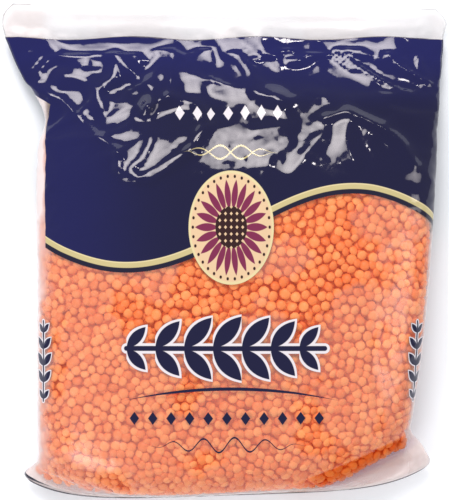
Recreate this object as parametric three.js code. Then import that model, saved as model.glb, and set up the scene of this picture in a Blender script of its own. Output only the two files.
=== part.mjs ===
// A sealed film bag of red lentils, lying on its back with its front up: one closed solid of its outer form.
// Millimetres. +Z is up, +Y runs to the bag's top, and the origin is on the floor under its middle.
import * as THREE from "three";
import { LoftGeometry } from "three/addons/geometries/LoftGeometry.js";

// Driving dimensions
const FULL_HEIGHT = 40; // thickest part of the filled bag, floor to front
const HEADER_HALF = 101.5; // half the flat width of the film, at the header
const HEADER_TOP = 113; // where the header's edge is, above the middle of the bag
const HEADER_BASE = 97; // where the print begins, under the clear header
const SHOULDER = 61; // where the lentils end, and the sides pull in
const BODY_LEFT = 84.3; // from the middle to the left side of the filled part
const BODY_RIGHT = 94.5; // and to its right side
const EAR_LEFT = [-91.4, -102]; // tip of the bottom seal's left ear
const EAR_RIGHT = [93.8, -96]; // tip of its right ear, which is turned up further
const EAR_ROUND = 2; // how far the ears' corners are rounded back
const FILM_PAIR = 0.9; // two layers of film sealed together, drawn thick enough to be a solid
const FLAT_BACK = 4; // how far the back would hang below the floor, which presses it flat
const RIM_SQUARE = 3; // how square the sides' roll-over is: 2 is an ellipse, more is boxier
const HEADER_CORNER = 4.5; // how far the header's corners are rounded in
const RIPPLE_HEIGHT = 1.1; // height of the header's waves
const RIPPLE_LENGTH = 62; // from one wave of the header to the next
const FOLD_BACKING = 8; // least thickness under a fold that stands at its full height

// How finely the bag is drawn
const ROWS_PER_STATION = 4;
const COLUMNS = 34;

// The heights of the front and the back in the middle of a row: a sealed pair of films, or a share of the
// filled height
const sealed = (height) => ({ crest: height + FILM_PAIR, keel: height });
const filled = (share) => ({ crest: share * FULL_HEIGHT, keel: -FLAT_BACK });

// Rows up the bag. left and right are where a row's side folds are, edge is how high they lie, dip is how far
// the row's middle hangs towards the bottom, and bend is how square that hang is.
const STATIONS = [
  {
    name: "bottom seal edge",
    left: [EAR_LEFT[0] + EAR_ROUND, EAR_LEFT[1] - 1.7 * EAR_ROUND],
    right: [EAR_RIGHT[0] - EAR_ROUND, EAR_RIGHT[1] - 1.7 * EAR_ROUND],
    ...{ dip: 9.4, bend: 5.2, edge: 5, crest: 9, keel: 9 },
  },
  { name: "seal ears", left: EAR_LEFT, right: EAR_RIGHT, dip: 11.6, bend: 4.6, edge: 6, ...sealed(11) },
  {
    name: "ear roots",
    left: [-BODY_LEFT - 2.6, -97.6],
    right: [BODY_RIGHT - 5, -88],
    ...{ dip: 17, bend: 3.4, edge: 9, crest: 21, keel: 2 },
  },
  {
    name: "front fold",
    left: [-BODY_LEFT, -93.5],
    right: [BODY_RIGHT - 10, -81.5],
    ...{ dip: 19, bend: 2.5, edge: 13 },
    ...filled(0.75),
  },
  {
    name: "lower front",
    left: [-BODY_LEFT, -82],
    right: [BODY_RIGHT - 9, -72],
    ...{ dip: 15, bend: 2.3, edge: 15 },
    ...filled(0.94),
  },
  {
    name: "thickest",
    left: [-BODY_LEFT, -48],
    right: [BODY_RIGHT - 5, -42],
    ...{ dip: 5, bend: 2, edge: 17 },
    ...filled(1),
  },
  {
    name: "middle",
    left: [-BODY_LEFT, -8],
    right: [BODY_RIGHT - 1.5, -4],
    ...{ dip: 1, bend: 2, edge: 17 },
    ...filled(0.98),
  },
  {
    name: "upper body",
    left: [-BODY_LEFT - 0.8, 28],
    right: [BODY_RIGHT + 0.8, 30],
    ...{ dip: 0, bend: 2, edge: 15 },
    ...filled(0.88),
  },
  {
    name: "below shoulder",
    left: [-BODY_LEFT, 47],
    right: [BODY_RIGHT + 1.8, 50],
    ...{ dip: 0, bend: 2, edge: 13 },
    ...filled(0.71),
  },
  {
    name: "shoulder",
    left: [-BODY_LEFT + 2.3, SHOULDER],
    right: [BODY_RIGHT + 3, SHOULDER + 5],
    ...{ dip: 0, bend: 2, edge: 10, crest: 20, keel: -1 },
  },
  {
    name: "empty film",
    left: [-HEADER_HALF + 9.6, SHOULDER + 19],
    right: [BODY_RIGHT + 3.8, SHOULDER + 21],
    ...{ dip: 0, bend: 2, edge: 6.5, crest: 11, keel: 2 },
  },
  {
    name: "header base",
    left: [-HEADER_HALF + 2.1, HEADER_BASE],
    right: [HEADER_HALF - 1.6, HEADER_BASE + 1],
    ...{ dip: 0, bend: 2, edge: 4 },
    ...sealed(4.6),
  },
  {
    name: "header",
    left: [-HEADER_HALF, HEADER_TOP - 6],
    right: [HEADER_HALF, HEADER_TOP - 8],
    ...{ dip: 0, bend: 2, edge: 3.2 },
    ...sealed(3.4),
  },
  {
    name: "header edge",
    left: [-HEADER_HALF + HEADER_CORNER, HEADER_TOP],
    right: [HEADER_HALF - HEADER_CORNER, HEADER_TOP - 2.4],
    ...{ dip: 0, bend: 2, edge: 2.8, crest: 2.8, keel: 2.8 },
  },
];

// Folds that stand on the front: the points each runs through, its height, and how far its slopes reach
const FOLDS = [
  { name: "left shoulder", height: 3, reach: 11, through: [[-87, 72], [-74, 68], [-60, 54], [-47, 43]] },
  { name: "pouch lip", height: 3, reach: 10, through: [[-47, 43], [-38, 31], [-15, 45], [-8, 62]] },
  { name: "right shoulder", height: 3, reach: 9, through: [[44, 59], [55, 62], [75, 51], [85, 37]] },
  { name: "corner lip", height: 2.4, reach: 9, through: [[-89, 96], [-80, 92], [-71, 86], [-62, 83]] },
  { name: "empty pouch", height: 2.6, reach: 10, through: [[-25, 89], [-24, 69], [-34, 63]] },
  { name: "empty middle", height: 2.2, reach: 10, through: [[-18, 80], [0, 74], [17, 68], [30, 66]] },
];

const mix = (from, to, share) => from + (to - from) * share;

// Reads a smooth curve through four equally spaced values, at a share of the way from the second to the third
function smooth(before, from, to, after, share) {
  const bend = 2 * before - 5 * from + 4 * to - after;
  const turn = 3 * (from - to) + after - before;
  return from + 0.5 * share * (to - before + share * (bend + share * turn));
}

// The row at a place along the list of stations, each of its sizes read smoothly from the stations near it
function rowAt(place) {
  const last = STATIONS.length - 1;
  const index = Math.min(Math.floor(place), last - 1);
  const near = [-1, 0, 1, 2].map((step) => STATIONS[THREE.MathUtils.clamp(index + step, 0, last)]);
  const read = (size) => smooth(...near.map(size), place - index);
  const corner = (side) => new THREE.Vector2(read((s) => s[side][0]), read((s) => s[side][1]));
  const sizes = ["dip", "bend", "edge", "crest", "keel"].map((size) => [size, read((s) => s[size])]);
  return { left: corner("left"), right: corner("right"), ...Object.fromEntries(sizes) };
}

// Distance in plan from a point to the nearest of a fold's straight runs
function distanceTo(through, point) {
  const place = new THREE.Vector3(point.x, point.y, 0);
  const corners = through.map(([x, y]) => new THREE.Vector3(x, y, 0));
  const runs = corners.slice(1).map((corner, i) => new THREE.Line3(corners[i], corner));
  const nearest = runs.map((run) => run.closestPointToPoint(place, true, new THREE.Vector3()));
  return Math.min(...nearest.map((spot) => spot.distanceTo(place)));
}

// How high the folds lift the front at a point: sharp along each fold, and easing out at its slopes' feet
function foldRise(point) {
  const slopes = FOLDS.map(({ through, height, reach }) => {
    const share = Math.max(0, 1 - distanceTo(through, point) / reach);
    return height * share * share;
  });
  return slopes.reduce((sum, slope) => sum + slope, 0);
}

// The header's waves at a point: none on the filled part, and all of their height from the print's edge up
const ripple = (point) =>
  RIPPLE_HEIGHT *
  Math.sin((2 * Math.PI * point.x) / RIPPLE_LENGTH) *
  THREE.MathUtils.smoothstep(point.y, SHOULDER, HEADER_BASE);

// A point of a row's ring. The turn is a quarter turn back at the left fold, and runs over the front to the
// right fold and on under the back.
function ringPoint(row, turn, onFold) {
  const across = Math.sign(Math.sin(turn)) * Math.abs(Math.sin(turn)) ** (2 / RIM_SQUARE);
  const crown = onFold ? 0 : Math.abs(Math.cos(turn));
  const onFront = Math.cos(turn) > 0;
  const point = row.left.clone().lerp(row.right, (across + 1) / 2);
  point.y -= row.dip * (1 - Math.abs(across) ** row.bend);
  const backing = Math.min(1, (row.crest - row.keel) / FOLD_BACKING);
  const fold = onFront ? foldRise(point) * crown * backing : 0;
  const height = mix(row.edge, onFront ? row.crest : row.keel, crown) + ripple(point) + fold;
  return new THREE.Vector3(point.x, point.y, Math.max(0, height));
}

function ringAt(place) {
  const row = rowAt(place);
  return Array.from({ length: 2 * COLUMNS }, (_, step) =>
    ringPoint(row, Math.PI * (step / COLUMNS - 0.5), step % COLUMNS === 0),
  );
}

function bagGeometry() {
  const rows = (STATIONS.length - 1) * ROWS_PER_STATION;
  return new LoftGeometry(Array.from({ length: rows + 1 }, (_, row) => ringAt(row / ROWS_PER_STATION)));
}

const filmOverLentils = new THREE.MeshStandardMaterial({ color: 0xf29a66, roughness: 0.25, metalness: 0 });
const bag = new THREE.Mesh(bagGeometry(), filmOverLentils);
bag.name = "lentil_bag";

const bagOfLentils = new THREE.Group();
bagOfLentils.add(bag);

export default bagOfLentils;
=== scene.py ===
import math

import bmesh
import bpy
import numpy as np
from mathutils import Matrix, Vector
from mathutils.kdtree import KDTree


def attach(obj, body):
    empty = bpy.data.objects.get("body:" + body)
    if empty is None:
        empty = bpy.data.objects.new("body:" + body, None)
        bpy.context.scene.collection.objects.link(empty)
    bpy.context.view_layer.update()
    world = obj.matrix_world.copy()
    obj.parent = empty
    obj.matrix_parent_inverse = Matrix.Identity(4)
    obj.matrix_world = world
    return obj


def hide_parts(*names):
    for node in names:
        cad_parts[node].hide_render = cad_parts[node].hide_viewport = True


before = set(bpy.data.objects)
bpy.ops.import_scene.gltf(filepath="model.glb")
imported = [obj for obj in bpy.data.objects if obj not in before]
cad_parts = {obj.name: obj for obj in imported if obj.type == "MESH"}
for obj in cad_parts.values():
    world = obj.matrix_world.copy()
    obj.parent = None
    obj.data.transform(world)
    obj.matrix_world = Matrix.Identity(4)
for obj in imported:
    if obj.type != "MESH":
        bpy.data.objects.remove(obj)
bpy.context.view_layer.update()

MM = 0.001
TO_MILLIMETRES = (1 / MM,) * 3  # what a place in metres is multiplied by
TINY = 1e-9  # keeps a division from being by zero

# The form of the bag, which lies on its back with its front up, in millimetres, as its solid has it
FULL_HEIGHT = 40
HEADER_HALF = 101.5
HEADER_TOP = 113
HEADER_BASE = 97
SHOULDER = 61
BODY_LEFT = 84.3
BODY_RIGHT = 94.5
EAR_LEFT = (-91.4, -102)
EAR_RIGHT = (93.8, -96)
EAR_ROUND = (2, 3.4)  # from the ears' tips inwards, and down, to where the seal's edge ends
FILM_PAIR = 0.9
FLAT_BACK = 4
RIM_SQUARE = 3
HEADER_CORNER = 4.5
RIPPLE_HEIGHT = 1.1
RIPPLE_LENGTH = 62
FOLD_BACKING = 8
FOLD_SHARE = 0.5  # the film spans the folds at this share of their height, and its creases stand on them

# How finely the film is drawn: rows from the bottom seal to the header, and columns on each side
ROWS = 209
COLUMNS = 144
TURN_STEPS = 4  # turns measured for each column, to space the columns evenly
CAGE_STEP = 2  # the film is simulated on every second row and column


def station(left, right, dip, bend, edge, crest, keel):
    """A row up the bag: its side folds, how its middle hangs, and its edge's, front's and back's heights."""
    return (*left, *right, dip, bend, edge, crest, keel)


def sealed(height):
    """The heights of the front and back of two films sealed together."""
    return height + FILM_PAIR, height


def filled(share):
    """The heights of the front and back of a row that the lentils fill to a share of the bag's height."""
    return share * FULL_HEIGHT, -FLAT_BACK


STATIONS = np.array([
    station(
        (EAR_LEFT[0] + EAR_ROUND[0], EAR_LEFT[1] - EAR_ROUND[1]),
        (EAR_RIGHT[0] - EAR_ROUND[0], EAR_RIGHT[1] - EAR_ROUND[1]),
        9.4, 5.2, 5, 9, 9,
    ),
    station(EAR_LEFT, EAR_RIGHT, 11.6, 4.6, 6, *sealed(11)),
    station((-BODY_LEFT - 2.6, -97.6), (BODY_RIGHT - 5, -88), 17, 3.4, 9, 21, 2),
    station((-BODY_LEFT, -93.5), (BODY_RIGHT - 10, -81.5), 19, 2.5, 13, *filled(0.75)),
    station((-BODY_LEFT, -82), (BODY_RIGHT - 9, -72), 15, 2.3, 15, *filled(0.94)),
    station((-BODY_LEFT, -48), (BODY_RIGHT - 5, -42), 5, 2, 17, *filled(1)),
    station((-BODY_LEFT, -8), (BODY_RIGHT - 1.5, -4), 1, 2, 17, *filled(0.98)),
    station((-BODY_LEFT - 0.8, 28), (BODY_RIGHT + 0.8, 30), 0, 2, 15, *filled(0.88)),
    station((-BODY_LEFT, 47), (BODY_RIGHT + 1.8, 50), 0, 2, 13, *filled(0.71)),
    station((-BODY_LEFT + 2.3, SHOULDER), (BODY_RIGHT + 3, SHOULDER + 5), 0, 2, 10, 20, -1),
    station((-HEADER_HALF + 9.6, SHOULDER + 19), (BODY_RIGHT + 3.8, SHOULDER + 21), 0, 2, 6.5, 11, 2),
    station((-HEADER_HALF + 2.1, HEADER_BASE), (HEADER_HALF - 1.6, HEADER_BASE + 1), 0, 2, 4, *sealed(4.6)),
    station((-HEADER_HALF, HEADER_TOP - 6), (HEADER_HALF, HEADER_TOP - 8), 0, 2, 3.2, *sealed(3.4)),
    station(
        (-HEADER_HALF + HEADER_CORNER, HEADER_TOP), (HEADER_HALF - HEADER_CORNER, HEADER_TOP - 2.4),
        0, 2, 2.8, 2.8, 2.8,
    ),
])


def fold(height, reach, *through):
    """A fold on the front: its height, how far its slopes reach, and the points that it runs through."""
    return height, reach, through


FOLDS = {
    "left shoulder": fold(3, 11, (-87, 72), (-74, 68), (-60, 54), (-47, 43)),
    "pouch lip": fold(3, 10, (-47, 43), (-38, 31), (-15, 45), (-8, 62)),
    "right shoulder": fold(3, 9, (44, 59), (55, 62), (75, 51), (85, 37)),
    "corner lip": fold(2.4, 9, (-89, 96), (-80, 92), (-71, 86), (-62, 83)),
    "empty pouch": fold(2.6, 10, (-25, 89), (-24, 69), (-34, 63)),
    "empty middle": fold(2.2, 10, (-18, 80), (0, 74), (17, 68), (30, 66)),
}

# Sharp creases that the film stands in, each a run of straight ridges
CREASES = {
    "corner": fold(0.6, 4, (-97, 99), (-93.5, 95), (-89, 90.5), (-90, 88)),
    "corner lip": fold(0.9, 5, (-92, 98), (-85, 97), (-80, 94), (-74, 89), (-65, 85)),
    "flap": fold(1.3, 3.2, (-84, 72), (-74, 68), (-67, 61), (-58, 51), (-48, 45), (-47, 36)),
    "pouch lip": fold(1.5, 4, (-47, 36), (-45, 33), (-33, 31), (-27, 35), (-15, 44)),
    "pouch side": fold(1.3, 4, (-15, 44), (-8, 56), (-13, 66), (-26, 69)),
    "pouch inside": fold(0.9, 3.2, (-43, 35), (-37, 40), (-33, 48), (-33, 55), (-35, 64)),
    "peak": fold(1.6, 5, (-35, 65), (-32, 72), (-50, 88), (-51, 79), (-58, 74)),
    "left hollow": fold(1.6, 5.5, (-73, 79), (-61, 76), (-53, 59), (-44, 64), (-35, 65)),
    "tent": fold(1.2, 6, (-32, 78), (-27, 88), (-24, 90), (-25, 69), (-34, 64)),
    "middle": fold(1.1, 7, (-25, 69), (-17, 79), (2, 75), (23, 69)),
    "header slant": fold(1.3, 9, (-3, 95), (5, 86), (24, 69)),
    "header right": fold(1.1, 8, (16, 94), (26, 84), (40, 88)),
    "shoulder": fold(1, 3.6, (45, 59), (54, 62), (63, 59), (72, 54), (79, 48), (85, 38)),
    "shoulder drop": fold(0.9, 6, (56, 61), (54, 51), (58, 40)),
    "slant": fold(0.8, 5, (44, 52), (34, 40), (30, 34)),
    "beside lozenges": fold(0.8, 5, (15, 54), (29, 56), (26, 63)),
    "long drop": fold(0.5, 4, (29, 47), (20, 43), (17, 27), (14, -18)),
    "right corner": fold(0.9, 6, (78, 92), (73, 86), (80, 82), (93, 78)),
    "upper right": fold(0.7, 5, (55, 84), (62, 80), (66, 76)),
    "left streak": fold(0.6, 3, (-82, 50), (-75.5, 41)),
    "low left streak": fold(0.5, 3, (-82.5, 38), (-78, 29)),
    "lower fold": fold(1.6, 5, (79, -84), (75, -85.4), (30, -104.2)),
    "ear": fold(1.1, 3.6, (91, -92), (80, -96.5), (52, -106)),
}
CREASE_SHARPNESS = 1.05  # 1 is a plain tent, and more is hollow-sided
CREASES_END = (104, 109)  # they fade out between these heights, under the header's edge


def mix(start, end, share):
    return start + (end - start) * share


def ease(value, low, high):
    """Goes smoothly from 0 at low to 1 at high."""
    share = np.clip((value - low) / (high - low), 0, 1)
    return share * share * (3 - 2 * share)


def between(table, places):
    """Reads a table of evenly spaced rows at places between them, on a smooth curve through its rows."""
    last = len(table) - 1
    index = np.minimum(np.floor(places).astype(int), last - 1)
    share = (places - index).reshape((-1,) + (1,) * (table.ndim - 1))
    before, start, end, after = (table[np.clip(index + step, 0, last)] for step in (-1, 0, 1, 2))
    bend = 2 * before - 5 * start + 4 * end - after
    turn = 3 * (start - end) + after - before
    return start + 0.5 * share * (end - before + share * (bend + share * turn))


def distance_to(through, x, y):
    """Distance in plan from each point to the nearest of a fold's straight runs."""
    nearest = np.full(x.shape, np.inf)
    for (x0, y0), (x1, y1) in zip(through, through[1:]):
        along = ((x - x0) * (x1 - x0) + (y - y0) * (y1 - y0)) / ((x1 - x0) ** 2 + (y1 - y0) ** 2)
        along = np.clip(along, 0, 1)
        nearest = np.minimum(nearest, np.hypot(x - mix(x0, x1, along), y - mix(y0, y1, along)))
    return nearest


def fold_rise(folds, x, y, sharpness=2):
    """How high the folds lift the front at each point: sharp along a fold, easing out at its slopes' feet."""
    rise = np.zeros(x.shape)
    for height, reach, through in folds.values():
        share = np.maximum(0, 1 - distance_to(through, x, y) / reach)
        rise += height * share ** sharpness
    return rise


def ring_points(row, turns):
    """The points of a row's ring at each turn, a quarter turn back at the left fold and on over the front."""
    left_x, left_y, right_x, right_y, dip, bend, edge, crest, keel = row
    across = np.sign(np.sin(turns)) * np.abs(np.sin(turns)) ** (2 / RIM_SQUARE)
    crown = np.abs(np.cos(turns))
    on_front = np.cos(turns) > 0
    x = mix(left_x, right_x, (across + 1) / 2)
    y = mix(left_y, right_y, (across + 1) / 2) - dip * (1 - np.abs(across) ** bend)
    ripple = RIPPLE_HEIGHT * np.sin(2 * np.pi * x / RIPPLE_LENGTH) * ease(y, SHOULDER, HEADER_BASE)
    backing = min(1, (crest - keel) / FOLD_BACKING)
    lifted = FOLD_SHARE * fold_rise(FOLDS, x, y) * crown * backing * on_front
    z = mix(edge, np.where(on_front, crest, keel), crown) + ripple + lifted
    return np.stack([x, y, np.maximum(z, 0)], axis=-1)


def run_lengths(points):
    """How far along a run of points each of them is."""
    steps = np.linalg.norm(np.diff(points, axis=0), axis=1)
    return np.concatenate([[0], np.cumsum(steps)])


def even_ring(row):
    """A row's ring with its columns evenly spaced over the front and over the back."""
    rings = []
    for start in (-np.pi / 2, np.pi / 2):
        turns = start + np.linspace(0, np.pi, TURN_STEPS * COLUMNS + 1)
        lengths = run_lengths(ring_points(row, turns))
        even = np.interp(np.linspace(0, lengths[-1], COLUMNS + 1), lengths, turns)
        rings.append(ring_points(row, even)[:COLUMNS])
    return np.concatenate(rings)


def ring_faces(rows, columns):
    """The four corners of every face of a tube of rows of points, each row a closed ring."""
    row, column = np.meshgrid(np.arange(rows - 1), np.arange(columns), indexing="ij")
    corner = row * columns + column
    beside = row * columns + (column + 1) % columns
    return np.stack([corner, beside, beside + columns, corner + columns], axis=-1).reshape(-1, 4).tolist()


def new_mesh(name, points, faces=(), unit=MM):
    """A smooth-shaded mesh object, from points in millimetres or in another unit."""
    mesh = bpy.data.meshes.new(name)
    mesh.from_pydata((np.reshape(points, (-1, 3)) * unit).tolist(), [], faces)
    mesh.polygons.foreach_set("use_smooth", [True] * len(mesh.polygons))
    mesh.update()
    piece = bpy.data.objects.new(name, mesh)
    bpy.context.scene.collection.objects.link(piece)
    return piece


def store(piece, name, kind, values):
    """Keeps a value for every point of a mesh under a name."""
    attribute = piece.data.attributes.new(name, kind, "POINT")
    field = "vector" if kind == "FLOAT_VECTOR" else "value"
    attribute.data.foreach_set(field, np.ravel(values).astype(float))


def grid_normals(grid):
    """The outward direction at each point of a grid whose rows are closed rings."""
    along = np.gradient(grid, axis=0)
    across = (np.roll(grid, -1, axis=1) - np.roll(grid, 1, axis=1)) / 2
    normal = np.cross(across, along)
    return normal / np.maximum(np.linalg.norm(normal, axis=-1, keepdims=True), TINY)


# How the film settles over the lentils
SIM_SCALE = 20  # the cloth is simulated this much larger, where its solver is steady
SIM_FRAMES = 24
SIM_SLACK = 0.045  # how much longer the film is than the form it starts from
SIM_STIFF = 30
SIM_BENDING = 1.2
SIM_CLEAR = 0.7  # how far under the film's first form the lentils start
SIM_GAP = 0.005  # how near the film comes to them, in scaled metres
SIM_MASS = 0.3
SIM_QUALITY = 5
HELD_BACK = 0.86  # how much of the back's width lies still on the floor
HELD_ROWS = (2, 3)  # rows held at the bottom seal and at the header's edge
SWELL_ROUNDS = 9  # how widely the film's general swelling is read, before it is taken off
SWELL_KEPT = 0.15
WRINKLE_LIMITS = (-0.5, 3.2)  # most that a wrinkle may sink or stand, in millimetres
WRINKLES_KEPT = (0.28, 0.65)  # share of the wrinkles that stay, over the lentils and in the empty film
TIGHT_UNDER = ((-100, -47, 20, 95), (74, 36, 36, 50))  # places across the bag, and how far up it is tight
SLACK_ABOVE = (-8, 14)  # from this far above that line to this, the one share gives way to the other


def pin_weights(grid):
    """Holds the seal, the header's edge and the flat back, and leaves the front and the sides free."""
    rows, columns, _ = grid.shape
    weights = np.zeros((rows, columns))
    half = columns // 2
    back = np.abs(np.linspace(-1, 1, half))
    weights[:, half:] = back[None, :] < HELD_BACK
    weights[: HELD_ROWS[0]] = 1
    weights[-HELD_ROWS[1]:] = 1
    return weights


def settle(grid):
    """Lets the slack film find its own wrinkles over the lentils, as simulated cloth."""
    cage = grid[::CAGE_STEP, ::CAGE_STEP]
    faces = ring_faces(*cage.shape[:2])
    lentils = new_mesh("settle_lentils", (cage - SIM_CLEAR * grid_normals(cage)) * SIM_SCALE, faces)
    lentils.modifiers.new("Collision", "COLLISION")
    lentils.collision.thickness_outer = SIM_GAP
    film = new_mesh("settle_film", cage * SIM_SCALE, faces)
    pinned = film.vertex_groups.new(name="pinned")
    held = np.flatnonzero(pin_weights(cage).ravel()).tolist()
    pinned.add(held, 1.0, "REPLACE")
    cloth = film.modifiers.new("Film", "CLOTH")
    cloth.settings.vertex_group_mass = "pinned"
    cloth.settings.quality = SIM_QUALITY
    cloth.settings.mass = SIM_MASS
    for strain in ("tension", "compression", "shear"):
        setattr(cloth.settings, strain + "_stiffness", SIM_STIFF)
    cloth.settings.bending_stiffness = SIM_BENDING
    cloth.settings.shrink_min = -SIM_SLACK
    cloth.settings.effector_weights.gravity = 0
    cloth.collision_settings.use_collision = True
    cloth.collision_settings.distance_min = SIM_GAP
    cloth.point_cache.frame_end = SIM_FRAMES
    scene = bpy.context.scene
    for step in range(1, SIM_FRAMES + 1):
        scene.frame_set(step)
    settled = film.evaluated_get(bpy.context.evaluated_depsgraph_get()).data
    flat = np.empty(len(settled.vertices) * 3)
    settled.vertices.foreach_get("co", flat)
    moved = flat.reshape(cage.shape) / (SIM_SCALE * MM) - cage
    scene.frame_set(1)
    for piece in (film, lentils):
        bpy.data.objects.remove(piece)
    return grid + finer(tightened(moved, grid_normals(cage)), grid.shape[:2])


def tightened(moved, normals):
    """Takes off most of the film's even swelling, so that its wrinkles stay and it lies on the lentils."""
    lift = (moved * normals).sum(axis=-1)
    swell = lift
    for _ in range(SWELL_ROUNDS):
        tall = np.concatenate([swell[:1], swell, swell[-1:]])
        swell = (tall[:-2] + tall[2:] + np.roll(swell, 1, axis=1) + np.roll(swell, -1, axis=1)) / 4
    wrinkle = np.clip(lift - (1 - SWELL_KEPT) * swell, *WRINKLE_LIMITS)
    return moved + (wrinkle - lift)[..., None] * normals


def finer(cage, shape):
    """Reads a coarse grid's values at every row and column of the fine one."""
    rows, columns = shape
    tall = between(cage, np.arange(rows) / CAGE_STEP)
    around = np.concatenate([tall[:, -1:], tall, tall[:, :2]], axis=1).swapaxes(0, 1)
    return between(around, 1 + np.arange(columns) / CAGE_STEP).swapaxes(0, 1)


# Where the film lies over the lentils, and where its own flat sheet runs, in millimetres
FLOOR_GAP = 0.3  # how far the film's back is above the floor
FOLD_PLACE = 3.6  # the film turns down to the bottom seal below this place in the list of stations
MEASURES = 20  # how many rows a station are measured to space the film's rows evenly
WELD = 2e-5  # metres between points that are made one


def film_rows():
    """The places in the list of stations of the film's rows, evenly spaced along the middle of the front."""
    places = np.linspace(0, len(STATIONS) - 1, MEASURES * len(STATIONS))
    middle = np.array([ring_points(row, np.zeros(1))[0] for row in between(STATIONS, places)])
    lengths = run_lengths(middle)
    return np.interp(np.linspace(0, lengths[-1], ROWS), lengths, places)


def flat_sheet(grid, fold_row):
    """Where each point is on the flat film: across from the front's middle, and up from the bag's middle."""
    closed = np.concatenate([grid, grid[:, :1]], axis=1)
    steps = np.hypot(*np.moveaxis(np.diff(closed, axis=1)[..., [0, 2]], -1, 0))
    across = np.concatenate([np.zeros((len(grid), 1)), np.cumsum(steps, axis=1)], axis=1)
    front = grid[:, :COLUMNS, 0]
    middle = [np.interp(0, front[row], across[row, :COLUMNS]) for row in range(len(grid))]
    across -= np.array(middle)[:, None]
    up = closed[..., 1].copy()
    below = np.linalg.norm(np.diff(closed[: fold_row + 1], axis=0), axis=-1)
    up[:fold_row] = up[fold_row] - np.cumsum(below[::-1], axis=0)[::-1]
    return np.stack([across, up], axis=-1)


def close_ends(piece):
    """Welds the points that lie together at a tube's open ends, which closes it."""
    shell = bmesh.new()
    shell.from_mesh(piece.data)
    ends = [vert for vert in shell.verts if vert.is_boundary]
    bmesh.ops.remove_doubles(shell, verts=ends, dist=WELD)
    shell.to_mesh(piece.data)
    shell.free()


def make_film(grid, flat, seal_distance):
    """The film as a closed shell, with its flat sheet as a UV map in metres, and a finish for each print."""
    faces = ring_faces(ROWS, 2 * COLUMNS)
    film = new_mesh("film", grid, faces)
    store(film, "seal_distance", "FLOAT", seal_distance)
    row, column = np.divmod(np.arange(len(faces)), 2 * COLUMNS)
    rows = np.stack([row, row, row + 1, row + 1], axis=-1)
    columns = np.stack([column, column + 1, column + 1, column], axis=-1)
    corners = flat[rows, columns]
    sheet = film.data.uv_layers.new(name="flat_sheet")
    sheet.data.foreach_set("uv", (corners * MM).ravel())
    across, up = np.moveaxis(corners.mean(axis=1), -1, 0)
    in_field = (up > wave_height(across) - FIELD_MARGIN) & (up < PRINT_TOP + FIELD_MARGIN)
    in_field |= within(across, up, MEDALLION, MEDALLION_RADII)
    below = np.zeros(len(faces), bool)
    for centre, half_size in ORNAMENT_BOXES:
        below |= within(across, up, centre, half_size)
    field_prints = [lay_fields, lay_medallion, lay_upper_ornaments]
    for name, prints in (("clear", []), ("field", field_prints), ("ornament", [lay_lower_ornaments])):
        film.data.materials.append(film_finish(name, prints))
    clear, field, ornament = range(3)
    finish = np.where(in_field, field, np.where(below, ornament, clear))
    film.data.polygons.foreach_set("material_index", finish)
    close_ends(film)
    return film


def within(across, up, centre, half_size):
    """Whether each place on the flat film is in a box, or near it."""
    near = np.abs(across - centre[0]) < half_size[0] + FIELD_MARGIN
    return near & (np.abs(up - centre[1]) < half_size[1] + FIELD_MARGIN)


# Lentils, in millimetres
LENTIL_WIDTHS = (4.0, 5.5)
LENTIL_FLATNESS = 0.52  # thickness over width
LENTIL_COVER = 1.06  # share of the filling's surface that the lentils cover
LENTIL_TILTS = (0.1, 0.75)  # from lying flat against the film, in radians
LENTIL_LAYERS = ((0.7, (1.4, 9.45)), (2.9, (1.75, 9.45)))  # how deep the tops lie, and between which stations
LENTIL_SEED = 5
UNDER_PRINT = 4  # how far lentils are made in under the print's edge
EARS_CLEAR = ((-84, -96), (-82, -101), (82, -80))  # no lentils are further out and lower than any of these
HEAP_EDGE = ((81, -87), (39, -109))  # the lentils at the lower right lie heaped against this line
BACK_CLEAR = -103  # none lie on the back below this, or past the heap's edge
CORE_DEPTH = 5  # from the film down to the core that the lentils hide
CORE_PLACES = (2.8, 9.2)
PACKING_ROUNDS = 20
NEIGHBOURS = 7
LENTIL_SIDES = 9
LENTIL_RINGS = ((0.6, 0.8), (0.96, 0.28), (0.96, -0.28), (0.6, -0.8))  # each ring's radius and height


def read_grid(grid, rows, columns):
    """Reads a grid of closed rows between its points."""
    row = np.clip(np.floor(rows).astype(int), 0, len(grid) - 2)
    column = np.floor(columns).astype(int)
    up = (rows - row)[:, None]
    over = (columns - column)[:, None]
    width = grid.shape[1]
    low = mix(grid[row, column % width], grid[row, (column + 1) % width], over)
    high = mix(grid[row + 1, column % width], grid[row + 1, (column + 1) % width], over)
    return mix(low, high, up)


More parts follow.
